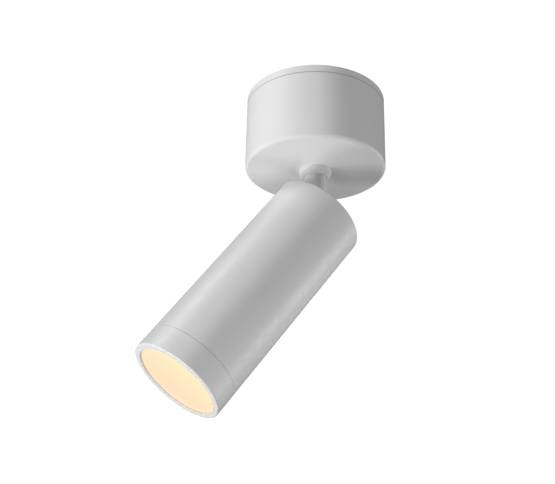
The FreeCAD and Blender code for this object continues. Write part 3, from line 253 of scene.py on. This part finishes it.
def phosphor():
    """Yellow phosphor in silicone, lit from within."""
    finish = Finish("phosphor", (0.93, 0.72, 0.20), 0.45, Emission_Strength=1.5)
    grain = finish.noise(2200, detail=4)
    lit = finish.tint(grain, (0.88, 0.64, 0.15), (0.97, 0.80, 0.30))
    finish.feed(finish.shader.inputs["Emission Color"], lit)
    finish.bump(grain, 0.00003, 0.3)
    return finish


def friction_fibre():
    """Pressed fibre washer: short dark fibres in a brown binder."""
    finish = Finish("friction_fibre", (0.16, 0.12, 0.09), 0.75)
    fibres = finish.noise(2600, detail=6, space=finish.stretched(finish.object_space, 1, 3, 1))
    finish.tint(finish.spread(fibres, 0, 1), (0.10, 0.07, 0.05), (0.26, 0.20, 0.14))
    finish.bump(fibres, 0.00005, 0.6)
    return finish


def insulation(name, axis, low_side, high_side):
    """Two wires of a pair, told apart by the side of the axis that they run on."""
    finish = Finish(name, low_side, 0.32, Coat_Weight=0.2, Coat_Roughness=0.2)
    side = finish.math("GREATER_THAN", finish.part(axis), 0.0)
    finish.tint(side, low_side, high_side)
    finish.vary_roughness(finish.noise(1800, detail=3), 0.26, 0.42)
    finish.bump(finish.noise(1200, detail=2), 0.00002, 0.3)
    return finish


def opal():
    """Lit opal diffuser: peach on its +Y side, more yellow on its -Y side, and hazy inside."""
    finish = Finish("opal", (0.22, 0.215, 0.205), 0.4, Emission_Strength=1.0, Specular_IOR_Level=0.3)
    side = finish.math("DIVIDE", finish.part("Y", finish.head_space()), -2 * LENS_RADIUS)
    haze = finish.math("MULTIPLY", finish.noise(30, detail=2), 0.12)
    place = finish.math("ADD", finish.math("ADD", side, haze), 0.44)
    glow = finish.blend(place, (0.78, 0.54, 0.335), (0.80, 0.68, 0.375))
    finish.feed(finish.shader.inputs["Emission Color"], glow)
    finish.tint(finish.noise(500, detail=4), (0.21, 0.205, 0.195), (0.23, 0.225, 0.215))
    finish.bump(finish.noise(3500, detail=2), 0.00002, 0.25)
    return finish


FINISHES = {
    "white_coat": white_coat(),
    "steel": steel(),
    "stainless": stainless(),
    "sink_aluminium": sink_aluminium(),
    "reflector_aluminium": reflector_aluminium(),
    "driver_plastic": moulded("driver_plastic", (0.72, 0.72, 0.69), 0.5, 3000),
    "terminal_plastic": moulded("terminal_plastic", (0.84, 0.84, 0.79), 0.3, 4200,
                                Subsurface_Weight=0.15, Subsurface_Scale=0.001),
    "board_green": driver_board(),
    "board_white": board_white(),
    "holder_plastic": moulded("holder_plastic", (0.80, 0.79, 0.75), 0.42, 3600),
    "thermal_silicone": moulded("thermal_silicone", (0.30, 0.36, 0.46), 0.7, 2400),
    "phosphor": phosphor(),
    "black_rubber": moulded("black_rubber", (0.022, 0.022, 0.023), 0.65, 2600),
    "clear_silicone": moulded("clear_silicone", (0.70, 0.70, 0.68), 0.3, 4000, Transmission_Weight=0.4),
    "friction_fibre": friction_fibre(),
    "lead_insulation": insulation("lead_insulation", "X", (0.16, 0.07, 0.03), (0.03, 0.09, 0.38)),
    "opal": opal(),
}
NODE_FINISHES = {
    "head_leads": insulation("head_lead_insulation", "Y", (0.45, 0.03, 0.02), (0.02, 0.02, 0.02)),
}


def dress_nodes():
    """Each piece's finish, by its own name or else by the record's material slot."""
    for sub_part in frame["record"]["subparts"]:
        name = sub_part["node"]
        finish = NODE_FINISHES.get(name) or FINISHES[sub_part["material_slot"]]
        for slot in frame["nodes"][name].material_slots:
            slot.material = finish.material


# ---- studio --------------------------------------------------------------------------------------
SOFTBOX_DISTANCE = 1.2
SOFTBOX_SIZE = 0.45
SOFTBOX_AIM = Vector((-0.03, 0, -0.1))
BACKDROP_LEVEL = 1.05
FLOOR_HEIGHT = -1.3
FLOOR_RADIUS = 4.5
FLOOR_CORNERS = 128
FLOOR_PANEL_HEIGHT = -0.7
FLOOR_PANEL_POWER = 200.0


def make_camera():
    """Camera at the photograph's place: below the lamp, to its left, looking up."""
    azimuth = math.radians(CAMERA_AZIMUTH)
    heading = math.radians(CAMERA_HEADING)
    tilt = math.radians(LOOK_UP)
    roll = math.radians(CAMERA_ROLL)
    reach = CAMERA_RANGE * math.cos(tilt)
    place = Vector((-reach * math.sin(azimuth), -reach * math.cos(azimuth),
                    AIM_HEIGHT - CAMERA_RANGE * math.sin(tilt)))
    forward = Vector((math.sin(heading) * math.cos(tilt), math.cos(heading) * math.cos(tilt),
                      math.sin(tilt)))
    level = Vector((math.cos(heading), -math.sin(heading), 0))
    upward = level.cross(forward)
    right = level * math.cos(roll) + upward * math.sin(roll)
    up = upward * math.cos(roll) - level * math.sin(roll)
    turn = Matrix((right, up, -forward)).transposed().to_4x4()
    data = bpy.data.cameras.new("photo_camera")
    data.sensor_width = SENSOR_MM
    data.lens = SENSOR_MM * FOCAL_PIXELS / PHOTO_WIDTH
    data.clip_start = 0.01
    camera = bpy.data.objects.new("photo_camera", data)
    camera.matrix_world = Matrix.Translation(place) @ turn
    bpy.context.collection.objects.link(camera)
    bpy.context.scene.camera = camera


def make_light(name, place, aim, size, power):
    """Round area light that the camera doesn't see."""
    data = bpy.data.lights.new(name, "AREA")
    data.shape = "DISK"
    data.size = size
    data.energy = power
    light = bpy.data.objects.new(name, data)
    light.location = place
    light.rotation_euler = (aim - place).to_track_quat("-Z", "Y").to_euler()
    light.visible_camera = False
    bpy.context.collection.objects.link(light)


def make_softbox(name, left, up, power, size=SOFTBOX_SIZE):
    """Softbox aimed at the lamp, so many degrees to the viewer's left and up from level."""
    turn = math.radians(left)
    rise = math.radians(up)
    heading = math.radians(CAMERA_HEADING)
    right = Vector((math.cos(heading), -math.sin(heading), 0))
    away = Vector((math.sin(heading), math.cos(heading), 0))
    level = -right * math.sin(turn) - away * math.cos(turn)
    way = level * math.cos(rise) + Vector((0, 0, math.sin(rise)))
    make_light(name, way * SOFTBOX_DISTANCE, SOFTBOX_AIM, size, power)


def make_floor():
    """Plain pale floor, well below the lamp, with a light of its own and no glow on the lamp."""
    mesh = bpy.data.meshes.new("floor")
    turns = [math.tau * step / FLOOR_CORNERS for step in range(FLOOR_CORNERS)]
    rim = [(FLOOR_RADIUS * math.cos(turn), FLOOR_RADIUS * math.sin(turn), FLOOR_HEIGHT)
           for turn in turns]
    mesh.from_pydata(rim, [], [range(FLOOR_CORNERS)])
    floor = bpy.data.objects.new("floor", mesh)
    floor.visible_diffuse = False
    floor.visible_glossy = False
    bpy.context.collection.objects.link(floor)
    finish = Finish("floor_paint", (0.85, 0.85, 0.85), 0.9)
    finish.tint(finish.noise(3, detail=4), (0.84, 0.84, 0.84), (0.86, 0.86, 0.86))
    mesh.materials.append(finish.material)
    make_light("floor_panel", Vector((0, 0, FLOOR_PANEL_HEIGHT)), Vector((0, 0, FLOOR_HEIGHT)),
               2 * FLOOR_RADIUS, FLOOR_PANEL_POWER)


def make_world():
    """White backdrop that the camera sees. The lamp is lit by the softboxes alone."""
    world = bpy.data.worlds.new("studio")
    bpy.context.scene.world = world
    world.use_nodes = True
    backdrop = world.node_tree.nodes["Background"]
    backdrop.inputs["Color"].default_value = (1, 1, 1, 1)
    backdrop.inputs["Strength"].default_value = BACKDROP_LEVEL
    world.cycles_visibility.diffuse = False
    world.cycles_visibility.glossy = False


def make_studio():
    """Floor, backdrop and softboxes, which are given as degrees left, degrees up and watts."""
    make_floor()
    make_world()
    make_softbox("high_left", 72, 50, 6.3)
    make_softbox("low_left", 68, -24, 4.1, size=0.3)
    make_softbox("low_side", 104, -35, 4.3)
    make_softbox("front", 0, 18, 3.4)
    make_softbox("low_front", 48, -44, 2.4)
    make_softbox("under_front", 0, -50, 3.4)
    make_softbox("rear_right", 250, -16, 5.6)
    make_softbox("rear", 216, -10, 1.0)
    scene = bpy.context.scene
    scene.view_settings.view_transform = "Standard"
    scene.view_settings.look = "None"


dress_nodes()
make_camera()
make_studio()
